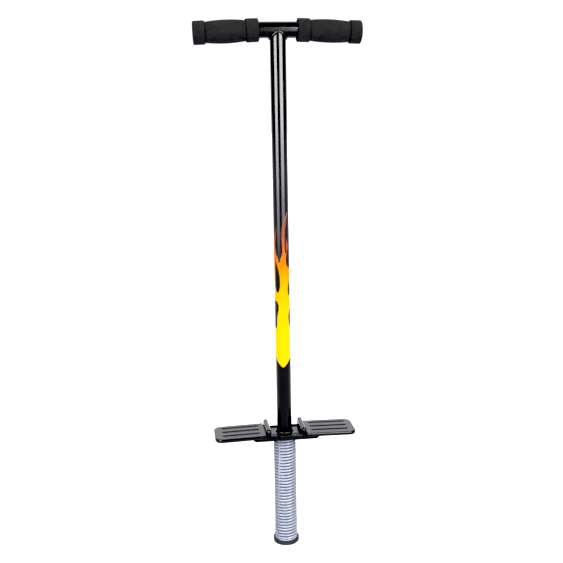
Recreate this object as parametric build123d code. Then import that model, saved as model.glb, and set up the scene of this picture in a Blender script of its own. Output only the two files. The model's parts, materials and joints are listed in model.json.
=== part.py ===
from build123d import *
import os
from math import cos, radians, sin, tan

# Spring pogo stick: a T-shaped frame of 28 mm tube, two fold-up pedals, and a plunger that
# slides in the column against a coil spring.  Millimetres.  The origin is the middle of the
# sole, +Z runs up the column, the handlebar lies along X and the front of the stick is -Y.

# ---- driving dimensions ----------------------------------------------------------------------
TUBE_R = 14.0              # column and handlebar tube, outside
TUBE_BORE_R = 12.0
BAR_Z = 957.0              # centre line of the handlebar above the sole
COLUMN_BOTTOM_Z = 217.0    # the column's lower end, a little below the footrest

BAR_CORNER_X = 30.0        # where the handlebar's two gentle bends are
BAR_BEND_R = 150.0
BAR_DROOP = 2.3            # degrees that each end of the handlebar drops
BAR_REACH = 112.0          # from a bend to the tube's end
COPE_GAP = 3.0             # the column stops this far under the bar's centre line
WELD = 2.6                 # size of the weld beads

GRIP_START = 3.5           # along the bar from its bend to the grip's inner end
GRIP_LENGTH = 113.0
GRIP_RING_R = 20.0         # raised ring at each end of a grip
GRIP_INNER_RING = 22.0     # width of the ring next to the column
GRIP_OUTER_RING = 20.5
GRIP_NECK_R = 17.6         # barrel of the grip beside the rings
GRIP_BELLY_R = 19.8        # barrel of the grip at its middle
GRIP_EDGE = 2.5
PLUG_HEAD = 1.5
PLUG_SPIGOT = 14.0

WEB_Z = 225.0              # top of the footrest's sunk middle
SHEET = 2.5                # footrest sheet
RIM_RISE = 1.5             # the footrest's long edges stand this proud
RIM_WIDTH = 4.5
FRAME_LENGTH = 125.0
FRAME_DEPTH = 58.0
FLANGE_BOTTOM_Z = 216.5
FLANGE_CORNER_R = 7.0

HINGE_X = 33.0             # pedal hinge axes, parallel to Y
HINGE_Z = 235.0
PIN_R = 3.15
PIN_HEAD_R = 4.3
PIN_HEAD = 3.4
KNUCKLE_R = 4.75
KNUCKLE_BORE_R = 3.2
KNUCKLE_LENGTH = 50.0
EAR_HALF = 4.5
WASHER_GAP = 0.1           # play at each side of a hinge washer

PEDAL_TOP_Z = HINGE_Z - KNUCKLE_R
PEDAL_SHEET = 2.0
PEDAL_INNER_X = 38.5
PEDAL_OUTER_X = 133.0
PEDAL_DEPTH = 70.0
PEDAL_HEIGHT = 6.5         # top face to the lower edge of the skirt
PEDAL_CORNER_R = 14.0
PEDAL_BEND_R = 2.4
NECK_INNER_X = 29.5
CREASE_WIDTH = 0.7          # pressed line that divides the tread from the neck
CREASE_DEPTH = 0.6
GROOVE_PITCH = 19.0
GROOVE_WIDTH = 9.0
GROOVE_FROM_X = 46.0
GROOVE_TO_X = 122.0
PEDAL_REST_GAP = 0.2       # least gap from a pedal's grooves to the web at rest
PEDAL_DROOP = 1.2          # degrees that a pedal leans down about its hinge at rest

SOLE = 4.6                 # rubber under the foot plate
FOOT_R = 24.4
FOOT_RIM_Z = 9.0
FOOT_WALL = 2.0
FOOT_PLATE = 2.0
HUB_R = 16.6
HUB_Z = 10.6

PLUNGER_R = 9.525          # 3/4 inch tube
PLUNGER_BORE_R = 7.725
PLUNGER_TOP_Z = 277.0
RUN_GAP = 0.05             # radial play of the two plunger guides
BUSHING_TOP_Z = 242.0
BUMPER_TOP_Z = 250.0
SLIDER_BOTTOM_Z = 250.3
SLIDER_TOP_Z = 272.3
SLIDER_PIN_R = 2.0
SLIDER_PIN_LENGTH = 20.6

BOLT_R = 4.0
BOLT_HEAD_R = 7.0
BOLT_HEAD = 2.6
BOLT_RECESS_R = 8.5
BOLT_RECESS = 3.2
INSERT_LENGTH = 20.0

SEAT = 1.5                 # steel washer between the footrest and the spring
SPRING_R = 21.4            # outside of the coils
WIRE = 4.4
ACTIVE_TURNS = 33.5
DEAD_TURNS = 1.2           # closed turns at each end
DEAD_PITCH = WIRE + 0.05
GRIND = 1.0                # ground off each end of the spring

DECAL = 0.2
FLAME_BOTTOM_Z = 351.0
# Flame tongues: left and right of the base, its height, then the tip's place and height.
FLAME_TONGUES = (
    (-12.0, -4.5, 413.0, -7.0, 605.0),
    (-8.0, 4.5, 433.0, 7.5, 635.0),
    (2.0, 9.5, 423.0, 12.0, 553.0),
)
FLAME_GAPS = (             # teardrop gaps: centre, half width, lower and upper end
    (-6.6, 2.6, 491.0, 551.0),
    (-8.2, 2.2, 423.0, 475.0),
    (8.4, 2.0, 427.0, 471.0),
)

ON_BASE = (Align.CENTER, Align.CENTER, Align.MIN)
SIDES = {"left": -1, "right": 1}


# ---- helpers ---------------------------------------------------------------------------------
def disc(radius, z0, z1):
    """Solid cylinder on the column's axis between two heights."""
    return Pos(0, 0, z0) * Cylinder(radius, z1 - z0, align=ON_BASE)


def ring(outer, inner, z0, z1):
    """Tube on the column's axis between two heights."""
    return disc(outer, z0, z1) - disc(inner, z0, z1)


def along_y(radius, x, z, length):
    """Solid cylinder parallel to Y, centred on the mid plane."""
    return Pos(x, 0, z) * Rot(90, 0, 0) * Cylinder(radius, length)


def along_x(radius, z, length):
    """Solid cylinder parallel to X, centred on the mid plane."""
    return Pos(0, 0, z) * Rot(0, 90, 0) * Cylinder(radius, length)


def block(x0, x1, y0, y1, z0, z1):
    """Box between three pairs of coordinates."""
    size = (x1 - x0, y1 - y0, z1 - z0)
    return Pos((x0 + x1) / 2, (y0 + y1) / 2, (z0 + z1) / 2) * Box(*size)


def on_side(shape, side):
    """Turn a shape made for the right side into the one for the named side."""
    if side == "left":
        return mirror(shape, about=Plane.YZ)
    return shape


def on_bar(shape):
    """Place a shape made along +Z on the right arm of the handlebar, from its bend."""
    return Pos(BAR_CORNER_X, 0, BAR_Z) * Rot(0, 90 + BAR_DROOP, 0) * shape


# ---- welded frame ----------------------------------------------------------------------------
def column_tube():
    """Upright tube, coped at the top to fit under the handlebar."""
    tube = ring(TUBE_R, TUBE_BORE_R, COLUMN_BOTTOM_Z, BAR_Z - COPE_GAP)
    return tube - along_x(TUBE_R, BAR_Z, 4 * TUBE_R)


def crossbar_tube():
    """Handlebar tube: level in the middle, with a gentle droop to each side."""
    drop = radians(BAR_DROOP)
    end_x = BAR_CORNER_X + BAR_REACH * cos(drop)
    end_z = BAR_Z - BAR_REACH * sin(drop)
    path = FilletPolyline((-end_x, 0, end_z), (-BAR_CORNER_X, 0, BAR_Z),
                          (BAR_CORNER_X, 0, BAR_Z), (end_x, 0, end_z), radius=BAR_BEND_R)
    section = Plane(origin=path @ 0, z_dir=path % 0) * (Circle(TUBE_R) - Circle(TUBE_BORE_R))
    return sweep(section, path=path)


def handlebar_weld():
    """Bead in the corner between the column and the handlebar."""
    bead = disc(TUBE_R + WELD, BAR_Z - 2 * TUBE_R, BAR_Z - COPE_GAP)
    bead &= along_x(TUBE_R + WELD, BAR_Z, 4 * TUBE_R)
    bead -= disc(TUBE_R, BAR_Z - 2 * TUBE_R, BAR_Z)
    return bead - along_x(TUBE_R, BAR_Z, 4 * TUBE_R)


def grip():
    """Right foam grip: a bulging barrel between two raised rings, closed at its outer end."""
    neck_from = GRIP_INNER_RING - GRIP_EDGE
    neck_to = GRIP_LENGTH - GRIP_OUTER_RING + GRIP_EDGE
    belly = make_face([
        Line((0, neck_from), (GRIP_NECK_R, neck_from)),
        ThreePointArc((GRIP_NECK_R, neck_from), (GRIP_BELLY_R, (neck_from + neck_to) / 2),
                      (GRIP_NECK_R, neck_to)),
        Line((GRIP_NECK_R, neck_to), (0, neck_to)),
        Line((0, neck_to), (0, neck_from))])
    inner = Pos(0, GRIP_INNER_RING / 2) * RectangleRounded(2 * GRIP_RING_R, GRIP_INNER_RING,
                                                           GRIP_EDGE)
    outer = Pos(0, GRIP_LENGTH - GRIP_OUTER_RING / 2) * RectangleRounded(
        2 * GRIP_RING_R, GRIP_OUTER_RING, GRIP_EDGE)
    half = Pos(GRIP_RING_R, GRIP_LENGTH / 2) * Rectangle(2 * GRIP_RING_R, 2 * GRIP_LENGTH)
    section = (belly + inner + outer) & half
    solid = revolve(Plane.XZ * section, Axis.Z)
    bore = disc(TUBE_R, -1, BAR_REACH - GRIP_START + PLUG_HEAD)
    return on_bar(Pos(0, 0, GRIP_START) * (solid - bore))


def bar_plug():
    """Plastic plug in the right end of the handlebar, a cup with a wide head."""
    head = disc(TUBE_R, BAR_REACH, BAR_REACH + PLUG_HEAD)
    spigot = disc(TUBE_BORE_R, BAR_REACH - PLUG_SPIGOT, BAR_REACH)
    hollow = disc(TUBE_BORE_R - PLUG_HEAD, BAR_REACH - PLUG_SPIGOT, BAR_REACH - PLUG_HEAD)
    return on_bar(head + spigot - hollow)


def footrest_frame():
    """Stamped channel: sunk web on top, flanges down, and four ears for the hinge pins."""
    rim_z = WEB_Z + RIM_RISE
    half_depth = FRAME_DEPTH / 2
    half_length = FRAME_LENGTH / 2
    channel = block(-half_length, half_length, -half_depth, half_depth, FLANGE_BOTTOM_Z, rim_z)
    channel = fillet(channel.edges().filter_by(Axis.Y).group_by(Axis.Z)[0], FLANGE_CORNER_R)
    channel = fillet(channel.edges().filter_by(Axis.X).group_by(Axis.Z)[-1], SHEET)
    inside = half_depth - SHEET
    channel -= block(-half_length, half_length, -inside, inside, FLANGE_BOTTOM_Z, WEB_Z - SHEET)
    sunk = half_depth - RIM_WIDTH
    channel -= block(-half_length, half_length, -sunk, sunk, WEB_Z, rim_z)
    ears = Part()
    for x in (-HINGE_X, HINGE_X):
        ear = block(x - EAR_HALF, x + EAR_HALF, -half_depth, half_depth, WEB_Z - SHEET, HINGE_Z)
        ear += along_y(EAR_HALF, x, HINGE_Z, FRAME_DEPTH)
        ear -= block(x - 2 * EAR_HALF, x + 2 * EAR_HALF, -inside, inside, WEB_Z, 2 * HINGE_Z)
        ears += ear
    frame = channel + ears
    for x in (-HINGE_X, HINGE_X):
        frame -= along_y(PIN_R, x, HINGE_Z, 2 * FRAME_DEPTH)
    return frame - disc(TUBE_R, FLANGE_BOTTOM_Z, 2 * WEB_Z)


def footrest_weld():
    """Bead around the foot of the column, on the web."""
    top = (TUBE_R, WEB_Z + WELD)
    outer = (TUBE_R + WELD, WEB_Z)
    middle = (TUBE_R + 0.78 * WELD, WEB_Z + 0.78 * WELD)
    section = make_face([Line((TUBE_R, WEB_Z), outer), ThreePointArc(outer, middle, top),
                         Line(top, (TUBE_R, WEB_Z))])
    return revolve(Plane.XZ * section, Axis.Z)


def flame_decal():
    """Thin printed film on the front of the column: a flame with a round foot."""
    foot = FLAME_BOTTOM_Z + TUBE_R
    body_top = FLAME_TONGUES[0][2] + TUBE_R
    shape = Pos(0, foot) * Circle(TUBE_R)
    shape += Pos(0, (foot + body_top) / 2) * Rectangle(2 * TUBE_R, body_top - foot)
    for left, right, base, tip_x, tip_z in FLAME_TONGUES:
        rise = (tip_z - base) / 2
        shape += make_face([
            Bezier((left, base), (left, base + rise), (tip_x - TUBE_R / 4, tip_z - rise / 2),
                   (tip_x, tip_z)),
            Bezier((tip_x, tip_z), (tip_x - TUBE_R / 6, tip_z - rise), (right, base + rise),
                   (right, base)),
            Line((right, base), (left, base))])
    for x, half, low, high in FLAME_GAPS:
        belly = low + (high - low) / 4
        shape -= make_face([
            Bezier((x, high), (x, belly + half), (x - 2 * half, belly), (x, low)),
            Bezier((x, low), (x + 2 * half, belly), (x, belly + half), (x, high))])
    slab = extrude(Plane.XZ * shape, amount=2 * TUBE_R)
    film = ring(TUBE_R + DECAL, TUBE_R, FLAME_BOTTOM_Z, BAR_Z)
    return slab & film


# ---- pedals and their hinges -----------------------------------------------------------------
def hinge_pin():
    """Right hinge pin: a rivet with a domed head at each end."""
    end = FRAME_DEPTH / 2
    dome_r = (PIN_HEAD_R ** 2 + PIN_HEAD ** 2) / (2 * PIN_HEAD)
    head = Pos(0, 0, end + PIN_HEAD - dome_r) * Sphere(dome_r)
    head &= disc(2 * PIN_HEAD_R, end, end + 2 * PIN_HEAD)
    half = disc(PIN_R, 0, end) + head
    pin = half + mirror(half, about=Plane.XY)
    return Pos(HINGE_X, 0, HINGE_Z) * Rot(90, 0, 0) * pin


def hinge_washers():
    """Four flat washers, one between each ear and the pedal's knuckle."""
    inside = FRAME_DEPTH / 2 - SHEET
    thick = inside - KNUCKLE_LENGTH / 2 - 2 * WASHER_GAP
    middle = (inside + KNUCKLE_LENGTH / 2) / 2
    washers = []
    for x in (-HINGE_X, HINGE_X):
        for y in (-middle, middle):
            flat = Cylinder(KNUCKLE_R, thick) - Cylinder(PIN_R, thick)
            washers.append(Pos(x, y, HINGE_Z) * Rot(90, 0, 0) * flat)
    return Compound(children=washers)


def settled(piece):
    """A right pedal's piece, leaning down about its hinge until the pedal rests."""
    hinge = Pos(HINGE_X, 0, HINGE_Z)
    return hinge * Rot(0, PEDAL_DROOP, 0) * hinge.inverse() * piece


def pedal_plate():
    """Right pedal: a pressed tray upside down, with three long grooves and a creased neck."""
    half = PEDAL_DEPTH / 2
    bottom = PEDAL_TOP_Z - PEDAL_HEIGHT
    under = PEDAL_TOP_Z - PEDAL_SHEET
    outer = block(PEDAL_INNER_X, PEDAL_OUTER_X, -half, half, bottom, PEDAL_TOP_Z)
    outer = fillet(outer.edges().filter_by(Axis.Z).group_by(Axis.X)[-1], PEDAL_CORNER_R)
    top_edges = outer.edges().group_by(Axis.Z)[-1].sort_by(Axis.X)[1:]
    outer = fillet(top_edges, PEDAL_BEND_R)
    inner = block(PEDAL_INNER_X - PEDAL_SHEET, PEDAL_OUTER_X - PEDAL_SHEET,
                  PEDAL_SHEET - half, half - PEDAL_SHEET, bottom, under)
    inner = fillet(inner.edges().filter_by(Axis.Z).group_by(Axis.X)[-1],
                   PEDAL_CORNER_R - PEDAL_SHEET)
    plate = outer - inner
    lean = (FRAME_LENGTH / 2 - HINGE_X) * tan(radians(PEDAL_DROOP))
    depth = under - (WEB_Z + PEDAL_REST_GAP + lean)
    length = GROOVE_TO_X - GROOVE_FROM_X
    centre_x = (GROOVE_TO_X + GROOVE_FROM_X) / 2
    for y in (-GROOVE_PITCH, 0, GROOVE_PITCH):
        boss = extrude(SlotOverall(length, GROOVE_WIDTH), amount=-depth, taper=20)
        plate += Pos(centre_x, y, under) * boss
    for y in (-GROOVE_PITCH, 0, GROOVE_PITCH):
        groove = extrude(SlotOverall(length, GROOVE_WIDTH), amount=-depth, taper=25)
        plate -= Pos(centre_x, y, PEDAL_TOP_Z) * groove
    neck_half = KNUCKLE_LENGTH / 2
    neck = block(NECK_INNER_X, PEDAL_INNER_X + PEDAL_SHEET, -neck_half, neck_half,
                 under, PEDAL_TOP_Z)
    crease = block(PEDAL_INNER_X - CREASE_WIDTH, PEDAL_INNER_X, -neck_half, neck_half,
                   PEDAL_TOP_Z - CREASE_DEPTH, PEDAL_TOP_Z)
    return plate + neck - crease


def pedal_knuckle():
    """Right pedal's hinge tube, with the weld that joins it to the neck of the plate."""
    weld_half = 0.8 * KNUCKLE_R
    weld_top = PEDAL_TOP_Z + 0.4 * KNUCKLE_R
    half = KNUCKLE_LENGTH / 2
    tube = along_y(KNUCKLE_R, HINGE_X, HINGE_Z, KNUCKLE_LENGTH)
    tube += block(HINGE_X - weld_half, HINGE_X + weld_half, -half, half, PEDAL_TOP_Z, weld_top)
    return tube - along_y(KNUCKLE_BORE_R, HINGE_X, HINGE_Z, 2 * KNUCKLE_LENGTH)


# ---- guides, spring and plunger --------------------------------------------------------------
def lower_guide_bushing():
    """Nylon guide pressed into the column's lower end."""
    bore = PLUNGER_R + RUN_GAP
    sleeve = ring(TUBE_BORE_R, bore, COLUMN_BOTTOM_Z, BUSHING_TOP_Z)
    return sleeve + ring(TUBE_R, bore, COLUMN_BOTTOM_Z - 2, COLUMN_BOTTOM_Z)


def rebound_bumper():
    """Rubber ring that stops the plunger at the end of its outward travel."""
    return ring(TUBE_BORE_R - 0.1, PLUNGER_R + 0.25, BUSHING_TOP_Z, BUMPER_TOP_Z)


def spring_seat():
    """Steel washer under the footrest, where the spring pushes."""
    top = WEB_Z - SHEET
    return ring(SPRING_R + 0.5, TUBE_R + 0.2, top - SEAT, top)


def coil(turns, pitch, z0, start):
    """One stretch of the spring's wire; start is the turn at which it begins."""
    radius = SPRING_R - WIRE / 2
    helix = Helix(pitch=pitch, height=turns * pitch, radius=radius)
    wire = sweep(Plane.XZ * (Pos(radius, 0) * Circle(WIRE / 2)), path=helix, is_frenet=True)
    return Pos(0, 0, z0) * Rot(0, 0, 360 * start) * wire


def spring():
    """Compression spring with closed and ground ends, between the foot plate and its seat."""
    bottom = SOLE + FOOT_PLATE
    top = WEB_Z - SHEET - SEAT
    first = bottom + WIRE / 2 - GRIND
    dead = DEAD_TURNS * DEAD_PITCH
    active = top - bottom - WIRE + 2 * GRIND - 2 * dead
    body = coil(DEAD_TURNS, DEAD_PITCH, first, 0)
    body += coil(ACTIVE_TURNS, active / ACTIVE_TURNS, first + dead, DEAD_TURNS)
    body += coil(DEAD_TURNS, DEAD_PITCH, first + dead + active, DEAD_TURNS + ACTIVE_TURNS)
    return body & disc(2 * SPRING_R, bottom, top)


def plunger_tube():
    """Inner tube that carries the foot, cross-drilled near its top for the slider's pin."""
    tube = ring(PLUNGER_R, PLUNGER_BORE_R, SOLE + FOOT_PLATE, PLUNGER_TOP_Z)
    return tube - along_x(SLIDER_PIN_R, (SLIDER_BOTTOM_Z + SLIDER_TOP_Z) / 2, 4 * PLUNGER_R)


def upper_slider():
    """Nylon collar on the top of the plunger, which guides it in the column."""
    collar = ring(TUBE_BORE_R - RUN_GAP, PLUNGER_R, SLIDER_BOTTOM_Z, SLIDER_TOP_Z)
    return collar - along_x(SLIDER_PIN_R, (SLIDER_BOTTOM_Z + SLIDER_TOP_Z) / 2, 4 * TUBE_R)


def slider_pin():
    """Roll pin through the slider and the plunger."""
    z = (SLIDER_BOTTOM_Z + SLIDER_TOP_Z) / 2
    return (along_x(SLIDER_PIN_R, z, SLIDER_PIN_LENGTH)
            - along_x(SLIDER_PIN_R / 2, z, SLIDER_PIN_LENGTH))


def foot_plate():
    """Round steel plate under the spring, with a hub that holds the plunger and the coils."""
    plate_top = SOLE + FOOT_PLATE
    plate = disc(FOOT_R - FOOT_WALL - 0.1, SOLE, plate_top) + disc(HUB_R, plate_top, HUB_Z)
    return plate - disc(PLUNGER_R, plate_top, HUB_Z) - disc(BOLT_R + 0.1, SOLE, plate_top)


def foot_insert():
    """Threaded steel plug in the plunger's lower end, for the bolt."""
    low = SOLE + FOOT_PLATE
    return ring(PLUNGER_BORE_R, BOLT_R, low, low + INSERT_LENGTH)


def foot_bolt():
    """Button-head bolt that holds the rubber foot, sunk into the sole."""
    head_bottom = BOLT_RECESS - BOLT_HEAD
    tip = SOLE + FOOT_PLATE + INSERT_LENGTH - 2
    bolt = disc(BOLT_HEAD_R, head_bottom, BOLT_RECESS) + disc(BOLT_R, BOLT_RECESS, tip)
    socket = Pos(0, 0, head_bottom) * extrude(RegularPolygon(BOLT_R * 0.7, 6), BOLT_HEAD * 0.6)
    return bolt - socket


def rubber_foot():
    """Rubber cup around the foot plate, with two ring grooves in its sole."""
    cup = fillet(disc(FOOT_R, 0, FOOT_RIM_Z).edges().group_by(Axis.Z)[0], 3)
    cup -= disc(FOOT_R - FOOT_WALL, SOLE, FOOT_RIM_Z)
    cup -= disc(BOLT_RECESS_R, 0, BOLT_RECESS)
    cup -= disc(BOLT_R + 0.1, BOLT_RECESS, SOLE)
    for radius in (12.0, 16.5):
        cup -= ring(radius + 1, radius - 1, 0, 1.2)
    return cup


def main():
    nodes = {
        "column_tube": column_tube(),
        "crossbar_tube": crossbar_tube(),
        "handlebar_weld": handlebar_weld(),
        "footrest_frame": footrest_frame(),
        "footrest_weld": footrest_weld(),
        "flame_decal": flame_decal(),
        "hinge_washers": hinge_washers(),
        "lower_guide_bushing": lower_guide_bushing(),
        "rebound_bumper": rebound_bumper(),
        "spring_seat": spring_seat(),
        "spring": spring(),
        "plunger_tube": plunger_tube(),
        "upper_slider": upper_slider(),
        "slider_pin": slider_pin(),
        "foot_plate": foot_plate(),
        "foot_insert": foot_insert(),
        "foot_bolt": foot_bolt(),
        "rubber_foot": rubber_foot(),
    }
    for side in SIDES:
        nodes[side + "_grip"] = on_side(grip(), side)
        nodes[side + "_bar_plug"] = on_side(bar_plug(), side)
        nodes[side + "_hinge_pin"] = on_side(hinge_pin(), side)
        nodes[side + "_pedal_plate"] = on_side(settled(pedal_plate()), side)
        nodes[side + "_pedal_knuckle"] = on_side(settled(pedal_knuckle()), side)
    os.makedirs("parts", exist_ok=True)
    for name, shape in nodes.items():
        export_step(shape, "parts/" + name + ".step")


main()
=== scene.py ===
import json
from math import atan2, cos, hypot, pi, radians, sin, sqrt, tau

import bmesh
import bpy
import numpy as np
from mathutils import Matrix, Vector


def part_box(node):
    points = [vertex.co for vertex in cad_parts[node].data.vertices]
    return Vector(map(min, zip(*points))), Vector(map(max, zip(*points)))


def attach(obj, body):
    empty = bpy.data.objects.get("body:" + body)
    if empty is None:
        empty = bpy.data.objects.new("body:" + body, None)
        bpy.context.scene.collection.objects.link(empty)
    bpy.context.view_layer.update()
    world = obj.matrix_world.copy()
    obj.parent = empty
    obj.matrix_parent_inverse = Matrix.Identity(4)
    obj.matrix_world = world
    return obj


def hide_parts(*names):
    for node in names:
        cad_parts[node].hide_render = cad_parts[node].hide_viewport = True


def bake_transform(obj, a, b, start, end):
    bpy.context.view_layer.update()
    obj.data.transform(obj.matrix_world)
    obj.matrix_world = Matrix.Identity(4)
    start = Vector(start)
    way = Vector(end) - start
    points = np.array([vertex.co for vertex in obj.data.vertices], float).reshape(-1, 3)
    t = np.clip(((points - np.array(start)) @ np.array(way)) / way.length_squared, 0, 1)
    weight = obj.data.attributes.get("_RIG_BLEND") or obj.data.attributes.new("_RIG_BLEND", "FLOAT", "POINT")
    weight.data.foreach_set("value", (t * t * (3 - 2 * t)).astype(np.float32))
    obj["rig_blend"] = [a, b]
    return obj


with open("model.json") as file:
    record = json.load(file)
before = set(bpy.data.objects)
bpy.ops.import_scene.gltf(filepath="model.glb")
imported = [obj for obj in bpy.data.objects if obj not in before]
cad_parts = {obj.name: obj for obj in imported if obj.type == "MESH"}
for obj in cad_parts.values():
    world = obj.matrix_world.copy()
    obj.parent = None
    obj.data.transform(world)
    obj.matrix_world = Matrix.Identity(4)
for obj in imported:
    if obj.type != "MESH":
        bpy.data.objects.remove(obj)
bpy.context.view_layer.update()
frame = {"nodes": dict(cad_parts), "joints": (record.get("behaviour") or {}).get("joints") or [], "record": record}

MM = 0.001

# ---- places and sizes, in metres, from the frame ------------------------------------------------
COLUMN_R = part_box("column_tube")[1].x
WEB_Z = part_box("footrest_weld")[0].z
BAR_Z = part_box("crossbar_tube")[1].z - COLUMN_R
FRAME_LOW, FRAME_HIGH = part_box("footrest_frame")
SPRING_LOW, SPRING_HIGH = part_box("spring")
FOOT_LOW, FOOT_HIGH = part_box("rubber_foot")
FLAME_LOW, FLAME_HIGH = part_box("flame_decal")
JOINTS = {joint["name"]: joint for joint in frame["joints"]}
HINGE = Vector(JOINTS["right_pedal_fold"]["pos_m"])

PEDAL_DROOP = radians(1.2)      # each pedal leans down a little about its hinge
PEDAL_REACH = 100 * MM          # from the hinge to the pedal's outer edge
PEDAL_HALF = 35 * MM
PEDAL_INNER_X = 38.5 * MM       # where the wide part of a pedal starts, beside its hinge
KNUCKLE_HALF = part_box("right_pedal_knuckle")[1].y
KNUCKLE_R = 4.75 * MM
BAR_CORNER_X = 30 * MM          # the handlebar's two gentle bends, as in the CAD
BAR_DROOP = radians(2.3)
SIDES = {"left": -1, "right": 1}


# ---- mesh helpers -------------------------------------------------------------------------------
def add_piece(name, verts, faces, material, sharp=35):
    """A new object from plain vertices and faces, smooth except at edges sharper than that."""
    mesh = bpy.data.meshes.new(name)
    mesh.from_pydata([tuple(v) for v in verts], [], faces)
    mesh.validate()
    piece = bpy.data.objects.new(name, mesh)
    bpy.context.scene.collection.objects.link(piece)
    mesh.materials.append(material)
    tidy_normals(piece)
    mesh.shade_smooth()
    mesh.set_sharp_from_angle(angle=radians(sharp))
    return piece


def tidy_normals(piece):
    """Merge doubled vertices and point every face outward."""
    work = bmesh.new()
    work.from_mesh(piece.data)
    bmesh.ops.remove_doubles(work, verts=work.verts, dist=1e-6)
    bmesh.ops.recalc_face_normals(work, faces=work.faces)
    work.to_mesh(piece.data)
    work.free()


def apply_modifiers(piece):
    """Replace a piece's mesh by the result of its modifiers."""
    graph = bpy.context.evaluated_depsgraph_get()
    mesh = bpy.data.meshes.new_from_object(piece.evaluated_get(graph))
    piece.modifiers.clear()
    piece.data = mesh


def thicken(piece, thickness, offset=-1):
    """Give an open sheet its thickness; offset -1 grows it inward from the modelled face."""
    solid = piece.modifiers.new("sheet", "SOLIDIFY")
    solid.thickness = thickness
    solid.offset = offset
    solid.use_even_offset = True
    apply_modifiers(piece)


def grid_faces(rows, columns, close_rows=False, close_columns=False):
    """Quads of a grid whose vertices are listed row by row."""
    faces = []
    for i in range(rows if close_rows else rows - 1):
        for j in range(columns if close_columns else columns - 1):
            a, b = i, (i + 1) % rows
            c, d = j, (j + 1) % columns
            faces.append((a * columns + c, a * columns + d, b * columns + d, b * columns + c))
    return faces


def lathe(name, profile, material, steps=96, place=Matrix(), wobble=None):
    """Turn a list of (radius, height) about Z; a profile that starts or ends at 0 is closed."""
    verts = []
    for radius, height in profile:
        for k in range(steps):
            angle = tau * k / steps
            r = radius + (wobble(angle, height) if wobble and radius > 0 else 0)
            verts.append(place @ Vector((r * cos(angle), r * sin(angle), height)))
    faces = grid_faces(len(profile), steps, close_columns=True)
    return add_piece(name, verts, faces, material)


def arc(centre, radius, start, end, steps=8):
    """Points of an arc in a profile, angles in degrees."""
    turn = [radians(start + (end - start) * k / steps) for k in range(steps + 1)]
    return [(centre[0] + radius * cos(a), centre[1] + radius * sin(a)) for a in turn]


def smooth(low, high, value):
    """0 below low, 1 above high, and an even blend between them."""
    t = min(1, max(0, (value - low) / (high - low)))
    return t * t * (3 - 2 * t)


def swept_bead(name, centre, outward, radius, count, sides, material):
    """A closed weld bead: rings of rippling radius round a loop of centre points."""
    verts = []
    points = [centre(tau * k / count) for k in range(count)]
    for k in range(count):
        ahead = (points[(k + 1) % count] - points[k - 1]).normalized()
        out = outward(tau * k / count)
        out = (out - ahead * out.dot(ahead)).normalized()
        side = ahead.cross(out)
        r = radius(tau * k / count)
        for m in range(sides):
            a = tau * m / sides
            verts.append(points[k] + (out * cos(a) + side * sin(a)) * r)
    faces = grid_faces(count, sides, close_rows=True, close_columns=True)
    return add_piece(name, verts, faces, material, sharp=60)


# ---- material helpers ---------------------------------------------------------------------------
class Nodes:
    """A node material with its Principled shader and a few short ways to wire it."""

    def __init__(self, name):
        self.material = bpy.data.materials.new(name)
        self.material.use_nodes = True
        self.tree = self.material.node_tree
        self.shader = self.tree.nodes["Principled BSDF"]
        self.place = self.add("ShaderNodeTexCoord").outputs["Object"]

    def add(self, kind, **settings):
        node = self.tree.nodes.new(kind)
        for key, value in settings.items():
            setattr(node, key, value)
        return node

    def link(self, source, target):
        self.tree.links.new(source, target)

    def noise(self, scale, detail=4, roughness=0.5, stretch=(1, 1, 1)):
        mapping = self.add("ShaderNodeMapping")
        mapping.inputs["Scale"].default_value = stretch
        self.link(self.place, mapping.inputs["Vector"])
        node = self.add("ShaderNodeTexNoise")
        node.inputs["Scale"].default_value = scale
        node.inputs["Detail"].default_value = detail
        node.inputs["Roughness"].default_value = roughness
        self.link(mapping.outputs["Vector"], node.inputs["Vector"])
        return node.outputs["Fac"]

    def cells(self, scale):
        node = self.add("ShaderNodeTexVoronoi", feature="F1")
        node.inputs["Scale"].default_value = scale
        self.link(self.place, node.inputs["Vector"])
        return node.outputs["Distance"]

    def ramp(self, source, *stops):
        """Colours by place along 0 to 1: each stop is (place, (r, g, b))."""
        node = self.add("ShaderNodeValToRGB")
        elements = node.color_ramp.elements
        while len(elements) < len(stops):
            elements.new(0.5)
        for element, (place, colour) in zip(elements, stops):
            element.position = place
            element.color = (*colour, 1)
        self.link(source, node.inputs["Fac"])
        return node.outputs["Color"]

    def span(self, source, low, high, from_low=0.3, from_high=0.7):
        """Map a noise's usual range to low..high."""
        node = self.add("ShaderNodeMapRange")
        for key, value in (("From Min", from_low), ("From Max", from_high),
                           ("To Min", low), ("To Max", high)):
            node.inputs[key].default_value = value
        self.link(source, node.inputs["Value"])
        return node.outputs["Result"]

    def maths(self, operation, a, b):
        node = self.add("ShaderNodeMath", operation=operation)
        for socket, value in zip(node.inputs, (a, b)):
            if isinstance(value, (int, float)):
                socket.default_value = value
            else:
                self.link(value, socket)
        return node.outputs["Value"]

    def bump(self, height, distance, strength=1.0, below=None):
        node = self.add("ShaderNodeBump")
        node.inputs["Distance"].default_value = distance
        node.inputs["Strength"].default_value = strength
        self.link(height, node.inputs["Height"])
        if below is not None:
            self.link(below, node.inputs["Normal"])
        return node.outputs["Normal"]

    def set(self, **values):
        """Put constants or sources on the shader's sockets; underscores stand for spaces."""
        for key, value in values.items():
            socket = self.shader.inputs[key.replace("_", " ")]
            if isinstance(value, bpy.types.NodeSocket):
                self.link(value, socket)
            else:
                socket.default_value = value


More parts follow.
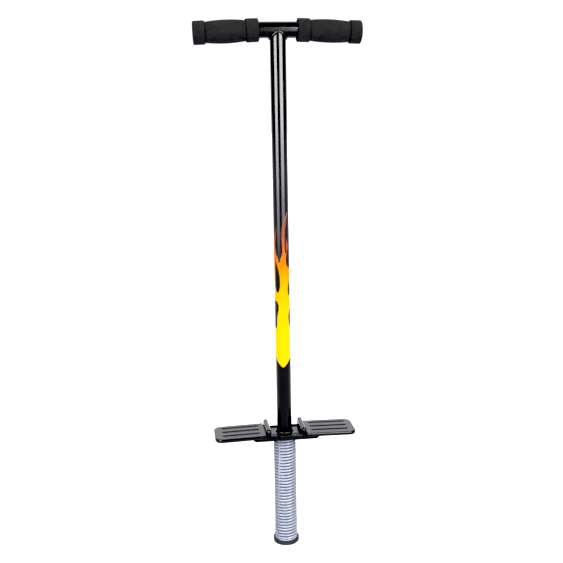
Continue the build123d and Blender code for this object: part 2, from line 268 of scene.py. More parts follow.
# ---- materials ----------------------------------------------------------------------------------
def black_paint():
    """Gloss black powder coat: orange peel, faint cloudiness and a little dust."""
    m = Nodes("black_paint")
    cloud = m.noise(14, 5)
    peel = m.noise(620, 2)
    dust = m.noise(2600, 3)
    colour = m.ramp(cloud, (0.35, (0.0035, 0.0035, 0.0045)), (0.65, (0.0065, 0.0060, 0.0080)))
    rough = m.maths("ADD", m.span(cloud, 0.14, 0.18), m.span(dust, -0.02, 0.03))
    m.set(Base_Color=colour, Roughness=rough, Specular_IOR_Level=0.27,
          Normal=m.bump(peel, 0.00001, 0.2))
    return m.material


def foam():
    """Charcoal closed-cell foam: fine pores, mottled skin and a dry sheen."""
    m = Nodes("grip_foam")
    pores = m.cells(1150)
    grain = m.noise(1700, 3, 0.6)
    patches = m.noise(55, 4, 0.6)
    tone = m.maths("ADD", m.span(patches, 0.0, 0.6), m.span(grain, 0.0, 0.4))
    colour = m.ramp(tone, (0.0, (0.014, 0.0136, 0.0142)), (1.0, (0.025, 0.0242, 0.0254)))
    pits = m.bump(pores, 0.00022, 0.7)
    m.set(Base_Color=colour, Roughness=m.span(grain, 0.84, 0.98), Specular_IOR_Level=0.10,
          Sheen_Weight=0.01, Sheen_Roughness=0.6,
          Normal=m.bump(grain, 0.00012, 0.5, below=pits))
    return m.material


def zinc():
    """Bright zinc plate: bluish, slightly cloudy, with fine drawing lines."""
    m = Nodes("zinc_plate")
    cloud = m.noise(120, 4, 0.6)
    fine = m.noise(900, 3, stretch=(1, 1, 0.2))
    colour = m.ramp(cloud, (0.30, (0.18, 0.20, 0.26)), (0.55, (0.23, 0.25, 0.31)),
                    (0.75, (0.28, 0.30, 0.36)))
    m.set(Base_Color=colour, Metallic=0.12, Roughness=m.span(fine, 0.44, 0.54),
          Normal=m.bump(fine, 0.00002, 0.4))
    return m.material


def rubber(name, dark, pale):
    """Moulded rubber: dull, with a fine grain and paler scuffs."""
    m = Nodes(name)
    scuff = m.noise(180, 6, 0.7)
    grain = m.noise(2400, 2)
    colour = m.ramp(scuff, (0.40, dark), (0.75, pale))
    m.set(Base_Color=colour, Roughness=m.span(scuff, 0.55, 0.78), Specular_IOR_Level=0.3,
          Normal=m.bump(grain, 0.00006, 0.6))
    return m.material


def nylon():
    """Natural nylon: milky, satin, with faint flow marks."""
    m = Nodes("natural_nylon")
    flow = m.noise(90, 4, stretch=(1, 1, 0.3))
    colour = m.ramp(flow, (0.3, (0.62, 0.60, 0.54)), (0.7, (0.74, 0.72, 0.66)))
    m.set(Base_Color=colour, Roughness=m.span(flow, 0.35, 0.5), Subsurface_Weight=0.1,
          Normal=m.bump(flow, 0.00005, 0.3))
    return m.material


def height_fade(m, low, high):
    """0 at one height and 1 at another."""
    split = m.add("ShaderNodeSeparateXYZ")
    m.link(m.place, split.inputs["Vector"])
    return m.span(split.outputs["Z"], 0.0, 1.0, low, high)


def flame_print():
    """Printed flame: yellow at its foot, through orange, to red at the tips."""
    m = Nodes("flame_print")
    height = height_fade(m, FLAME_LOW.z, FLAME_HIGH.z)
    drift = m.maths("ADD", height, m.span(m.noise(45, 3), -0.02, 0.02))
    colour = m.ramp(drift, (0.00, (0.64, 0.43, 0.010)), (0.24, (0.64, 0.42, 0.009)),
                    (0.42, (0.64, 0.38, 0.008)), (0.58, (0.62, 0.28, 0.005)),
                    (0.68, (0.52, 0.17, 0.004)), (0.78, (0.42, 0.095, 0.008)),
                    (0.88, (0.27, 0.045, 0.014)), (1.00, (0.16, 0.016, 0.012)))
    m.set(Base_Color=colour, Roughness=m.span(m.noise(300, 2), 0.18, 0.26),
          Specular_IOR_Level=0.15, Normal=m.bump(m.noise(700, 2), 0.00001, 0.3))
    return m.material


def flame_edge():
    """Dark print round the flame: near black below, deep red towards the tips."""
    m = Nodes("flame_edge_print")
    height = height_fade(m, FLAME_LOW.z, FLAME_HIGH.z)
    drift = m.maths("ADD", height, m.span(m.noise(80, 3), -0.02, 0.02))
    colour = m.ramp(drift, (0.0, (0.020, 0.012, 0.004)), (0.55, (0.035, 0.010, 0.003)),
                    (0.75, (0.11, 0.010, 0.006)), (1.0, (0.060, 0.006, 0.006)))
    m.set(Base_Color=colour, Roughness=m.span(m.noise(300, 2), 0.18, 0.26),
          Specular_IOR_Level=0.4)
    return m.material


def floor_paint():
    """Plain pale studio floor."""
    m = Nodes("studio_floor")
    grain = m.noise(9, 4)
    colour = m.ramp(grain, (0.3, (0.86, 0.86, 0.86)), (0.7, (0.90, 0.90, 0.90)))
    m.set(Base_Color=colour, Roughness=m.span(grain, 0.7, 0.8), Specular_IOR_Level=0.1)
    return m.material


PAINT = black_paint()
FOAM = foam()
ZINC = zinc()
RUBBER = rubber("moulded_rubber", (0.015, 0.0145, 0.015), (0.030, 0.029, 0.030))
# A darker copy of the rubber: painted shade for the foot's lip top and the inside of its cup.
RUBBER_PAINTED_SHADE = rubber("rubber_painted_shade", (0.004, 0.004, 0.004), (0.008, 0.008, 0.008))
NYLON = nylon()
SLOT_MATERIALS = {"black_paint": PAINT, "foam": FOAM, "zinc_steel": ZINC, "rubber": RUBBER,
                  "nylon": NYLON, "decal": PAINT}


def paint_cad_nodes():
    """Give every CAD node the material of its slot."""
    for subpart in frame["record"]["subparts"]:
        node = frame["nodes"][subpart["node"]]
        material = SLOT_MATERIALS[subpart["material_slot"]]
        if not node.material_slots:
            node.data.materials.append(material)
        for held in node.material_slots:
            held.material = material


# ---- handlebar ----------------------------------------------------------------------------------
def bar_axis(side):
    """Placement of the drooping arm: its Z runs outward along the tube from the bend."""
    turn = Matrix.Rotation(side * (pi / 2 + BAR_DROOP), 4, "Y")
    return Matrix.Translation((side * BAR_CORNER_X, 0, BAR_Z)) @ turn


def grip_profile():
    """Section of a foam grip from its inner mouth to the middle of its closed end."""
    start, length = 3.5 * MM, 113 * MM
    ring, inner_width, outer_width = 20.0 * MM, 22 * MM, 20.5 * MM
    neck, belly, edge, root = 17.6 * MM, 19.8 * MM, 2.5 * MM, 1.6 * MM
    mouth = COLUMN_R + 0.05 * MM
    end = start + length
    first, last = start + inner_width, end - outer_width
    profile = [(mouth, start + 1 * MM)]
    profile += arc((mouth + 1 * MM, start + 1 * MM), 1 * MM, 180, 270, 4)
    profile += arc((ring - edge, start + edge), edge, -90, 0)
    profile += arc((ring - edge * 0.7, first - edge * 0.7), edge * 0.7, 0, 90)
    profile += arc((neck + root, first + root), root, -90, -180, 6)
    for k in range(1, 40):
        s = k / 40
        bulge = sin(pi * s) ** 0.8
        profile.append((neck + (belly - neck) * bulge,
                        first + root + (last - first - 2 * root) * s))
    profile += arc((neck + root, last - root), root, 180, 90, 6)
    profile += arc((ring - edge * 0.7, last + edge * 0.7), edge * 0.7, -90, 0)
    profile += arc((ring - edge, end - edge), edge, 0, 90)
    profile += [(ring * 0.6, end + 0.25 * MM), (ring * 0.25, end + 0.35 * MM), (0, end + 0.35 * MM)]
    return profile


def make_grip(side_name):
    """One foam grip, a little uneven all round as cut foam is."""
    side = SIDES[side_name]

    def uneven(angle, height):
        swing = 0.10 * sin(2 * angle + 40 * height + side) + 0.07 * sin(3 * angle + 95 * height)
        return MM * swing

    piece = lathe(side_name + "_foam_grip", grip_profile(), FOAM, steps=128,
                  place=bar_axis(side), wobble=uneven)
    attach(piece, "frame")
    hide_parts(side_name + "_grip")


def make_handlebar_weld():
    """Rippled bead along the saddle between the column and the handlebar."""
    soft = 3.2 * MM

    def centre(angle):
        y = COLUMN_R * sin(angle)
        drop = sqrt((COLUMN_R * cos(angle)) ** 2 + soft ** 2)
        point = Vector((COLUMN_R * cos(angle), y, BAR_Z - drop))
        return point + outward(angle) * 0.5 * MM

    def outward(angle):
        drop = sqrt((COLUMN_R * cos(angle)) ** 2 + soft ** 2)
        column = Vector((cos(angle), sin(angle), 0))
        bar = Vector((0, COLUMN_R * sin(angle), -drop)).normalized()
        return (column + bar).normalized()

    def radius(angle):
        return (2.15 + 0.28 * abs(sin(13 * angle)) + 0.10 * sin(5 * angle)) * MM

    piece = swept_bead("handlebar_weld_bead", centre, outward, radius, 360, 18, PAINT)
    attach(piece, "frame")
    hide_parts("handlebar_weld")


def make_footrest_weld():
    """Rippled bead round the foot of the column."""
    def outward(angle):
        return Vector((cos(angle), sin(angle), 1)).normalized()

    def centre(angle):
        edge = Vector((COLUMN_R * cos(angle), COLUMN_R * sin(angle), WEB_Z))
        return edge + outward(angle) * 0.45 * MM

    def radius(angle):
        return (2.0 + 0.30 * abs(sin(11 * angle)) + 0.12 * sin(4 * angle)) * MM

    piece = swept_bead("footrest_weld_bead", centre, outward, radius, 320, 18, PAINT)
    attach(piece, "frame")
    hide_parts("footrest_weld")


# ---- footrest -----------------------------------------------------------------------------------
SHEET = 2.5 * MM
RIM_RISE = 1.5 * MM


def footrest_section():
    """Half of the channel's outer section, from the middle of the web to the flange's edge."""
    half = FRAME_HIGH.y
    rim_z = WEB_Z + RIM_RISE
    bend = SHEET
    step_from, step_width = half - 6.1 * MM, 1.9 * MM
    groove_y, groove_half, groove_deep = 17.5 * MM, 2.6 * MM, 0.9 * MM
    points = []
    for k in range(61):
        y = k / 60 * step_from
        dip = max(0.0, 1 - ((y - groove_y) / groove_half) ** 2)
        points.append((y, WEB_Z - groove_deep * dip ** 1.5))
    for k in range(1, 9):
        s = k / 8
        points.append((step_from + step_width * s, WEB_Z + RIM_RISE * smooth(0, 1, s)))
    points.append((half - bend - 0.6 * MM, rim_z))
    return points + arc((half - bend, rim_z - bend), bend, 90, 0, 8)


def make_footrest_frame():
    """The stamped channel, its long rims, its rounded flanges and its four ears."""
    half_section = footrest_section()
    half_length = FRAME_HIGH.x
    corner = 7 * MM
    low = FRAME_LOW.z
    stations = [half_length * (k / 30 * 2 - 1) for k in range(31)]
    fine = [half_length - corner + corner * sin(pi / 2 * k / 10) for k in range(11)]
    stations = sorted(set([-x for x in fine] + [x for x in stations if abs(x) < fine[0]] + fine))
    verts = []
    for x in stations:
        over = max(0.0, abs(x) - (half_length - corner))
        edge = low + corner - sqrt(max(0.0, corner ** 2 - over ** 2))
        top = half_section[-1][1]
        flange = [(half_section[-1][0], top + (edge - top) * k / 4) for k in range(1, 5)]
        side = half_section + flange
        full = [(-y, z) for y, z in reversed(side[1:])] + side
        verts += [Vector((x, y, z)) for y, z in full]
    columns = 2 * (len(half_section) + 4) - 1
    piece = add_piece("footrest_channel", verts, grid_faces(len(stations), columns), PAINT)
    thicken(piece, SHEET)
    bore = lathe("bore_tool", [(0, low - 0.01), (COLUMN_R, low - 0.01),
                               (COLUMN_R, WEB_Z + 0.01), (0, WEB_Z + 0.01)], PAINT, steps=96)
    cut = piece.modifiers.new("bore", "BOOLEAN")
    cut.object, cut.operation, cut.solver = bore, "DIFFERENCE", "EXACT"
    apply_modifiers(piece)
    bpy.data.objects.remove(bore)
    soften_edges(piece, 0.35 * MM)
    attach(piece, "frame")
    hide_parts("footrest_frame")
    for side_name, side in SIDES.items():
        for end_name, end in (("front", -1), ("rear", 1)):
            make_ear(f"{side_name}_{end_name}_ear", side * HINGE.x, end)


def soften_edges(piece, width):
    """Round a piece's sharp edges a little."""
    bevel = piece.modifiers.new("soft_edges", "BEVEL")
    bevel.width = width
    bevel.segments = 2
    bevel.limit_method = "ANGLE"
    bevel.angle_limit = radians(40)
    bevel.harden_normals = False


def make_ear(name, x, end):
    """One upright ear, with a round top about the hinge pin and a hole for it."""
    half, hole = 4.5 * MM, 3.15 * MM
    outer = end * (FRAME_HIGH.y + 0.02 * MM)
    inner = end * (FRAME_HIGH.y - SHEET)
    foot = WEB_Z - 2 * MM
    outline = [(half, foot - HINGE.z)] + arc((0, 0), half, 0, 180, 20) + [(-half, foot - HINGE.z)]
    count = len(outline)
    round_hole = [(hole * cos(a), hole * sin(a)) for a in
                  [atan2(pz, px) for px, pz in outline]]
    verts = []
    for y in (outer, inner):
        for loop in (outline, round_hole):
            verts += [Vector((x + px, y, HINGE.z + pz)) for px, pz in loop]
    faces = []
    for k in range(count):
        n = (k + 1) % count
        faces.append((k, n, count + n, count + k))
        faces.append((2 * count + k, 3 * count + k, 3 * count + n, 2 * count + n))
        faces.append((k, 2 * count + k, 2 * count + n, n))
        faces.append((count + k, count + n, 3 * count + n, 3 * count + k))
    piece = add_piece(name, verts, faces, PAINT)
    soften_edges(piece, 0.4 * MM)
    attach(piece, "frame")
    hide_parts("footrest_frame")


# ---- pedals -------------------------------------------------------------------------------------
def groove_depth(x, y):
    """How deep a pedal's pressed grooves are at a place on its top."""
    half, ramp, deep = 6.0 * MM, 5.0 * MM, 1.2 * MM
    x_from, x_to = 46 * MM + half, 121 * MM - half
    along = min(x_to, max(x_from, x))
    depth = 0.0
    for row in (-1, 0, 1):
        away = hypot(x - along, y - row * 19 * MM)
        depth = max(depth, deep * (1 - smooth(half - ramp, half, away)))
    return depth


def pedal_rows(half, corner):
    """Rows across the pedal's top, closer together round its outer corners."""
    straight = half - corner
    rows = [straight * (k / 36 * 2 - 1) for k in range(37)]
    neck = KNUCKLE_HALF
    rows = [y for y in rows if abs(abs(y) - neck) > 0.6 * MM] + [-neck, neck]
    bends = [straight + corner * sin(pi / 2 * k / 12) for k in range(1, 13)]
    return sorted(rows + bends + [-y for y in bends])


def make_pedal(side_name):
    """A pressed tray with soft grooves, rounded corners, a turned-down skirt and a neck."""
    side = SIDES[side_name]
    sheet, bend = 2.0 * MM, 2.4 * MM
    top = HINGE.z - KNUCKLE_R
    bottom = top - 6.5 * MM
    inner_x, outer_x = PEDAL_INNER_X, HINGE.x + PEDAL_REACH
    neck_x = 29.5 * MM
    half, corner = PEDAL_HALF - bend, 14 * MM - bend
    reach = outer_x - bend
    rows = pedal_rows(half, corner)
    columns = [k / 70 for k in range(71)]
    verts, faces, index = [], [], {}

    def vertex(x, y, z):
        verts.append(Vector((side * x, y, z)))
        return len(verts) - 1

    def end_of(y):
        over = max(0.0, abs(y) - (half - corner))
        return reach - corner + sqrt(max(0.0, corner ** 2 - over ** 2))

    for i, y in enumerate(rows):
        limit = end_of(y)
        for j, t in enumerate(columns):
            x = inner_x + (limit - inner_x) * t
            index[i, j] = vertex(x, y, top - groove_depth(x, y))
    for i in range(len(rows) - 1):
        for j in range(len(columns) - 1):
            faces.append((index[i, j], index[i, j + 1], index[i + 1, j + 1], index[i + 1, j]))
    neck_rows = [i for i, y in enumerate(rows) if abs(y) <= KNUCKLE_HALF + 1e-6]
    steps = 6
    for i in neck_rows:
        index[i, "neck", 0] = index[i, 0]
        for k in range(1, steps + 1):
            x = inner_x + (neck_x - inner_x) * k / steps
            index[i, "neck", k] = vertex(x, rows[i], top)
    for i in neck_rows[:-1]:
        for k in range(steps):
            faces.append((index[i, "neck", k], index[i + 1, "neck", k],
                          index[i + 1, "neck", k + 1], index[i, "neck", k + 1]))
    last_row, last = len(rows) - 1, len(columns) - 1
    loop = [index[0, j] for j in range(last + 1)]
    loop += [index[i, last] for i in range(1, last_row)]
    loop += [index[last_row, j] for j in range(last, -1, -1)]
    rim = [(abs(verts[v].x), verts[v].y) for v in loop]
    normals = rim_normals(rim, reach - corner, half - corner)
    ring = loop
    stations = [(bend * sin(a), bend * (1 - cos(a))) for a in
                [pi / 2 * k / 6 for k in range(1, 7)]] + [(bend, top - bottom)]
    for out, down in stations:
        lower = []
        for v, (nx, ny) in zip(loop, normals):
            x, y = abs(verts[v].x) + nx * out, verts[v].y + ny * out
            drop = down
            if down > bend:
                drop = bend + (down - bend) * skirt_share(x)
            lower.append(vertex(x, y, top - drop))
        for k in range(len(loop) - 1):
            faces.append((ring[k], ring[k + 1], lower[k + 1], lower[k]))
        ring = lower
    piece = add_piece(side_name + "_pedal_tray", verts, faces, PAINT, sharp=50)
    thicken(piece, sheet, offset=-1)
    lean_down(piece, side)
    body = side_name + "_pedal"
    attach(piece, body)
    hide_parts(side_name + "_pedal_plate")


def rim_normals(points, corner_x, corner_y):
    """Which way is out at each point of a pedal's rim, about its rounded corners' middles."""
    normals = []
    for x, y in points:
        sign = 1.0 if y > 0 else -1.0
        if x < corner_x - 1e-9:
            normals.append((0.0, sign))
        elif abs(y) < corner_y - 1e-9:
            normals.append((1.0, 0.0))
        else:
            dx, dy = x - corner_x, abs(y) - corner_y
            size = max(hypot(dx, dy), 1e-9)
            normals.append((dx / size, dy / size * sign))
    return normals


def lean_down(piece, side):
    """Turn a flat pedal about its hinge to where it rests."""
    hinge = Matrix.Translation((side * HINGE.x, 0, HINGE.z))
    piece.data.transform(hinge @ Matrix.Rotation(side * PEDAL_DROOP, 4, "Y") @ hinge.inverted())


def skirt_share(x):
    """The skirt's lower edge rises in a round where it ends beside the hinge."""
    round_to = 4 * MM
    near = min(1.0, max(0.0, (x - PEDAL_INNER_X) / round_to))
    return 0.25 + 0.75 * sqrt(max(0.0, 1 - (1 - near) ** 2))


# ---- spring and foot ----------------------------------------------------------------------------
WIRE = 4.4 * MM
DEAD_TURNS = 1.2
TOTAL_TURNS = 35.9


def spring_heights(count):
    """Height of the wire's middle at even steps of turn, with closed coils at both ends."""
    grind = 1.0 * MM
    length = SPRING_HIGH.z - SPRING_LOW.z - WIRE + 2 * grind
    dead_pitch = WIRE + 0.05 * MM
    turns = np.linspace(0, TOTAL_TURNS, count)
    inside = np.minimum(turns, TOTAL_TURNS - turns)
    blend = np.clip((inside - DEAD_TURNS + 0.15) / 0.5, 0, 1)
    blend = blend * blend * (3 - 2 * blend)
    step = turns[1] - turns[0]
    extra = np.concatenate([[0], np.cumsum((blend[1:] + blend[:-1]) / 2 * step)])
    pitch_gain = (length - dead_pitch * TOTAL_TURNS) / extra[-1]
    heights = turns * dead_pitch + extra * pitch_gain
    return turns, SPRING_LOW.z + WIRE / 2 - grind + heights, extra / extra[-1]


def make_spring():
    """Round-wire spring with closed, ground ends; its turns close up evenly when pressed."""
    per_turn, sides = 48, 18
    count = int(TOTAL_TURNS * per_turn) + 1
    turns, heights, share = spring_heights(count)
    radius = SPRING_HIGH.x - WIRE / 2
    verts, weights = [], []
    for turn, z, t in zip(turns, heights, share):
        a = tau * turn + radians(200)
        for m in range(sides):
            b = tau * m / sides
            r = radius + WIRE / 2 * cos(b)
            height = z + WIRE / 2 * sin(b)
            height = min(SPRING_HIGH.z, max(SPRING_LOW.z, height))
            verts.append((r * cos(a), r * sin(a), height))
            weights.append(1 - t)
    faces = grid_faces(count, sides, close_columns=True)
    faces.append(tuple(range(sides)))
    faces.append(tuple((count - 1) * sides + m for m in range(sides - 1, -1, -1)))
    mesh = bpy.data.meshes.new("coil_spring")
    mesh.from_pydata(verts, [], faces)
    mesh.materials.append(ZINC)
    mesh.shade_smooth()
    mesh.set_sharp_from_angle(angle=radians(50))
    piece = bpy.data.objects.new("coil_spring", mesh)
    bpy.context.scene.collection.objects.link(piece)
    top, bottom = (0, 0, SPRING_HIGH.z), (0, 0, SPRING_LOW.z)
    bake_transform(piece, "frame", "plunger", start=top, end=bottom)
    # Each ring of the wire moves as one, by its share of the turns, so the wire stays round.
    held = mesh.attributes["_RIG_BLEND"]
    held.data.foreach_set("value", np.array(weights, np.float32))
    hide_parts("spring")


def make_rubber_foot():
    """Rubber cup: a rounded sole with two ring grooves and a soft rim round the last coil."""
    outer, top = FOOT_HIGH.x, FOOT_HIGH.z
    inner, floor_z = outer - 2 * MM, 4.6 * MM
    recess, recess_z, hole = 8.5 * MM, 3.2 * MM, 4.1 * MM
    lip = 0.8 * MM
    profile = [(hole, floor_z), (inner, floor_z)]
    profile += [(inner, top - lip)] + arc((inner + lip, top - lip), lip, 180, 90, 5)
    profile += arc((outer - lip, top - lip), lip, 90, 0, 5)
    profile += [(outer, 5.6 * MM), (outer - 0.3 * MM, 5.2 * MM), (outer - 0.3 * MM, 4.6 * MM),
                (outer, 4.2 * MM)]
    profile += arc((outer - 3 * MM, 3 * MM), 3 * MM, 0, -90, 8)
    for groove in (16.5 * MM, 12 * MM):
        profile += [(groove + 1.2 * MM, 0), (groove + 0.8 * MM, 1.2 * MM),
                    (groove - 0.8 * MM, 1.2 * MM), (groove - 1.2 * MM, 0)]
    profile += [(recess, 0), (recess, recess_z), (hole, recess_z)]
    profile.append(profile[0])
    piece = lathe("rubber_foot_cup", profile, RUBBER, steps=128)
    # Faces within 2 mm of the top and faces inside the inner wall's radius take the darker rubber: painted shade
    # on the lip and inside the cup.
    piece.data.materials.append(RUBBER_PAINTED_SHADE)
    for face in piece.data.polygons:
        if face.center.z > top - 2 * MM or face.center.to_2d().length < inner + 0.2 * MM:
            face.material_index = 1
    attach(piece, "plunger")
    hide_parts("rubber_foot")


# ---- flame --------------------------------------------------------------------------------------
# The flame is drawn flat: millimetres round the tube from its middle, millimetres up from its
# foot, and whether the line turns sharply there.
FLAME_OUTLINE = (
    (0, 3.5, False), (6, 8.3, False), (11.2, 14.5, False), (16, 20.5, False),
    (20.5, 26.5, False), (23.7, 40, False), (24.8, 90, False), (25.4, 140, False),
    (24.3, 190, False), (20.9, 226, False), (19.3, 262, True),
    (18.7, 225, False), (18.3, 203, False), (15.1, 189.5, False), (10.7, 193, False),
    (8.3, 202, False), (9, 212, False), (12.3, 230, False), (10.6, 240, True),
    (9.5, 228, False), (7.9, 217, False), (6.4, 222, False), (5.7, 238, False),
    (6.3, 257, False), (9.5, 269, False), (11.2, 286, True),
    (5.1, 271, False), (2, 261, False), (0.7, 247, False), (1.5, 231, False),
    (1.5, 216, False), (-1.8, 206.5, False), (-4.6, 199.5, False), (-6.6, 206, False),
    (-11.5, 218, False), (-13.2, 231, False), (-10.8, 246, False), (-8.9, 261, True),
    (-15.4, 243, False), (-19.8, 222, False), (-23.1, 190, False), (-24.8, 140, False),
    (-24.8, 90, False), (-23.7, 40, False), (-20.5, 26.5, False), (-16, 20.5, False),
    (-11.2, 14.5, False), (-6, 8.3, False),
)
FLAME_HOLES = (
    ((-13.4, 209, True), (-9.3, 196, False), (-5.4, 184, False), (-3.6, 172, False),
     (-3.2, 160, False), (-4.4, 151, False), (-8.6, 144.5, False), (-12.8, 150, False),
     (-13.9, 164, False), (-14.1, 184, False)),
    ((-20.9, 127, False), (-14.3, 129.5, False), (-8.9, 126, False), (-6.8, 114, False),
     (-9.3, 103, False), (-10.6, 92, False), (-10.8, 83, False), (-13.2, 75, True),
     (-19.8, 84, False), (-22.6, 106, False)),
    ((17.1, 177, True), (15.3, 166, False), (12.3, 157, False), (11.2, 148, False),
     (15.1, 138.5, False), (18.7, 145, False), (19.2, 160, False)),
    ((20.5, 122, True), (16.5, 114, False), (13.4, 106, False), (12.1, 95.5, False),
     (13, 87, False), (15.7, 79, True), (20.1, 88, False), (21.6, 106, False)),
)
FLAME_TURN = radians(-8)        # the flame's middle, from the front of the column
FLAME_BORDER = 0.8 * MM         # how far the dark print shows past the flame
FILM = 0.08 * MM                # thickness of each printed film
EDGE_FILM_R = COLUMN_R + 0.06 * MM
FLAME_FILM_R = COLUMN_R + 0.14 * MM


def flame_curve(name, grow):
    """The flat flame as a filled curve, its outline pushed out by grow."""
    curve = bpy.data.curves.new(name, "CURVE")
    curve.dimensions = "2D"
    curve.fill_mode = "BOTH"
    curve.resolution_u = 10
    for outline in (FLAME_OUTLINE, *FLAME_HOLES):
        spline = curve.splines.new("BEZIER")
        spline.bezier_points.add(len(outline) - 1)
        spline.use_cyclic_u = True
        for point, (u, v, sharp) in zip(spline.bezier_points, outline):
            point.co = (u * MM, v * MM, 0)
            kind = "VECTOR" if sharp else "AUTO"
            point.handle_left_type = point.handle_right_type = kind
    curve.offset = grow
    return curve


def make_flame(name, grow, radius, material):
    """Wrap the flat flame round the column as a thin film."""
    flat = bpy.data.objects.new(name + "_flat", flame_curve(name, grow))
    bpy.context.scene.collection.objects.link(flat)
    graph = bpy.context.evaluated_depsgraph_get()
    mesh = bpy.data.meshes.new_from_object(flat.evaluated_get(graph))
    bpy.data.objects.remove(flat)
    work = bmesh.new()
    work.from_mesh(mesh)
    # Cuts a millimetre apart let the flat film bend round the tube.
    for step in range(-25, 26):
        shape = list(work.verts) + list(work.edges) + list(work.faces)
        bmesh.ops.bisect_plane(work, geom=shape, plane_co=(step * MM, 0, 0),
                               plane_no=(1, 0, 0))
    for vert in work.verts:
        angle = vert.co.x / COLUMN_R + FLAME_TURN
        vert.co = Vector((radius * sin(angle), -radius * cos(angle),
                          FLAME_LOW.z + vert.co.y))
    bmesh.ops.recalc_face_normals(work, faces=work.faces)
    work.to_mesh(mesh)
    work.free()
    mesh.materials.clear()
    mesh.materials.append(material)
    piece = bpy.data.objects.new(name, mesh)
    bpy.context.scene.collection.objects.link(piece)
    solid = piece.modifiers.new("film", "SOLIDIFY")
    solid.thickness = FILM
    solid.offset = 0
    mesh.shade_smooth()
    mesh.set_sharp_from_angle(angle=radians(50))
    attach(piece, "frame")
    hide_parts("flame_decal")


# ---- stage --------------------------------------------------------------------------------------
SOFTBOX_DISTANCE = 1.4
SOFTBOX_RADIANCE = 30
SOFTBOX_BANDS = ((0.74, 1.85, 1.0), (0.56, 0.74, 0.62), (0.36, 0.56, 0.3))  # low, high, share
BACKDROP_TURN = radians(8)      # the backdrop's middle, from straight behind the stick


def aim(thing, target):
    """Point a light at a place."""
    way = Vector(target) - thing.location
    thing.rotation_euler = way.to_track_quat("-Z", "Y").to_euler()


def softbox(name, azimuth, width, low, high, radiance):
    """An upright area light from low to high; azimuth 0 is straight in front of the stick."""
    tall, middle = high - low, (low + high) / 2
    light = bpy.data.lights.new(name, "AREA")
    light.shape = "RECTANGLE"
    light.size, light.size_y = width, tall
    light.energy = radiance * pi * width * tall
    lamp = bpy.data.objects.new(name, light)
    bpy.context.scene.collection.objects.link(lamp)
    a = radians(azimuth)
    lamp.location = (SOFTBOX_DISTANCE * sin(a), -SOFTBOX_DISTANCE * cos(a), middle)
    aim(lamp, (0, 0, middle))
    lamp.visible_diffuse = False


def make_surround():
    """Studio surround: a bright backdrop behind the stick, and greyer walls around it."""
    world = bpy.data.worlds.new("studio_surround")
    bpy.context.scene.world = world
    world.use_nodes = True
    tree = world.node_tree
    way = tree.nodes.new("ShaderNodeTexCoord").outputs["Generated"]

    def band(source, low, high, bottom, top):
        node = tree.nodes.new("ShaderNodeMapRange")
        node.interpolation_type = "SMOOTHSTEP"
        for key, value in (("From Min", low), ("From Max", high),
                           ("To Min", bottom), ("To Max", top)):
            node.inputs[key].default_value = value
        tree.links.new(source, node.inputs["Value"])
        return node.outputs["Result"]

    def combine(operation, a, b):
        node = tree.nodes.new("ShaderNodeMath")
        node.operation = operation
        tree.links.new(a, node.inputs[0])
        tree.links.new(b, node.inputs[1])
        return node.outputs["Value"]

    towards = tree.nodes.new("ShaderNodeVectorMath")
    towards.operation = "DOT_PRODUCT"
    towards.inputs[1].default_value = (sin(BACKDROP_TURN), cos(BACKDROP_TURN), 0)
    tree.links.new(way, towards.inputs[0])
    split = tree.nodes.new("ShaderNodeSeparateXYZ")
    tree.links.new(way, split.inputs["Vector"])
    walls = band(towards.outputs["Value"], -0.30, 0.45, 0.30, 0.66)
    backdrop = band(towards.outputs["Value"], 0.72, 0.90, 0.0, 0.34)
    backdrop = combine("ADD", walls, backdrop)
    glow = band(split.outputs["Z"], 0.10, 0.28, 1.15, 2.3)
    back = tree.nodes["Background"]
    back.inputs["Color"].default_value = (0.96, 0.96, 1.0, 1)
    tree.links.new(combine("MULTIPLY", backdrop, glow), back.inputs["Strength"])


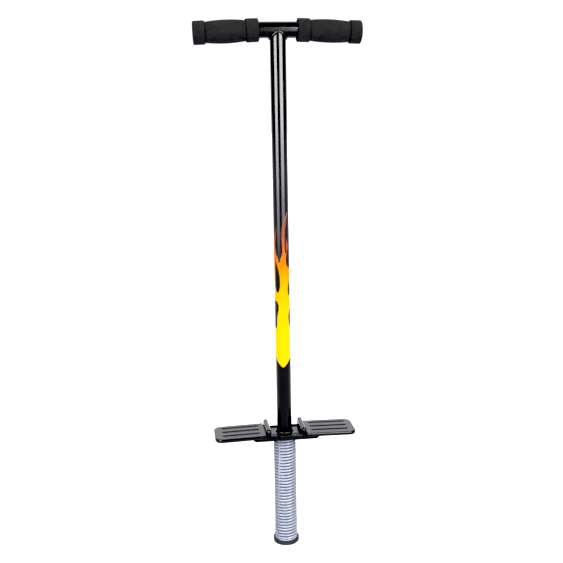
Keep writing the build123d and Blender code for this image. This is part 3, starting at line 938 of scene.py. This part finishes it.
def make_stage():
    """Pale floor, surround, and the studio's lights."""
    size, steps = 60, 8
    verts = [(size * (i / steps - 0.5), size * (j / steps - 0.5), 0)
             for i in range(steps + 1) for j in range(steps + 1)]
    floor = add_piece("floor", verts, grid_faces(steps + 1, steps + 1), floor_paint())
    make_surround()
    for low, high, share in SOFTBOX_BANDS:
        softbox("left_softbox", -44, 0.92, low, high, SOFTBOX_RADIANCE * share)
        softbox("right_softbox", 31, 1.02, low, high, SOFTBOX_RADIANCE * share)
    overhead = bpy.data.lights.new("overhead", "SUN")
    overhead.energy = 4.7
    overhead.angle = radians(70)
    lamp = bpy.data.objects.new("overhead", overhead)
    lamp.rotation_euler = (radians(40), 0, 0)
    lamp.visible_glossy = False
    bpy.context.scene.collection.objects.link(lamp)
    bpy.context.scene.view_settings.view_transform = "Standard"
    curve = bpy.context.scene.view_settings.curve_mapping
    bpy.context.scene.view_settings.use_curve_mapping = True
    curve.black_level = (0.050, 0.050, 0.050)
    curve.update()


CAMERA_TURN = -7.57             # degrees from the front, towards the left
CAMERA_AWAY = 1.510             # metres from the column's axis
CAMERA_HEIGHT = 0.8203
CAMERA_PITCH = 11.475           # degrees down, then aside, then about the view's middle
CAMERA_PAN = 0.03
CAMERA_ROLL = -0.99
FOCAL = 53.82                   # millimetres, on a 36 mm sensor


def make_camera():
    """Camera a little left of the front, below the handlebar's height and tilted down."""
    camera = bpy.data.objects.new("camera", bpy.data.cameras.new("camera"))
    bpy.context.scene.collection.objects.link(camera)
    camera.data.lens = FOCAL
    camera.data.sensor_width = 36
    a = radians(CAMERA_TURN)
    camera.location = (CAMERA_AWAY * sin(a), -CAMERA_AWAY * cos(a), CAMERA_HEIGHT)
    turn = Matrix.Rotation(radians(CAMERA_TURN + CAMERA_PAN), 4, "Z")
    tilt = Matrix.Rotation(radians(90 - CAMERA_PITCH), 4, "X")
    roll = Matrix.Rotation(radians(CAMERA_ROLL), 4, "Z")
    camera.rotation_euler = (turn @ tilt @ roll).to_euler()
    camera.data.clip_start, camera.data.clip_end = 0.05, 100
    bpy.context.scene.camera = camera


def main():
    make_camera()
    paint_cad_nodes()
    for side_name in SIDES:
        make_grip(side_name)
        make_pedal(side_name)
    make_handlebar_weld()
    make_footrest_weld()
    make_footrest_frame()
    make_spring()
    make_rubber_foot()
    make_flame("flame_edge", FLAME_BORDER, EDGE_FILM_R, flame_edge())
    make_flame("flame_film", 0.0, FLAME_FILM_R, flame_print())
    make_stage()


main()
bpy.context.view_layer.update()
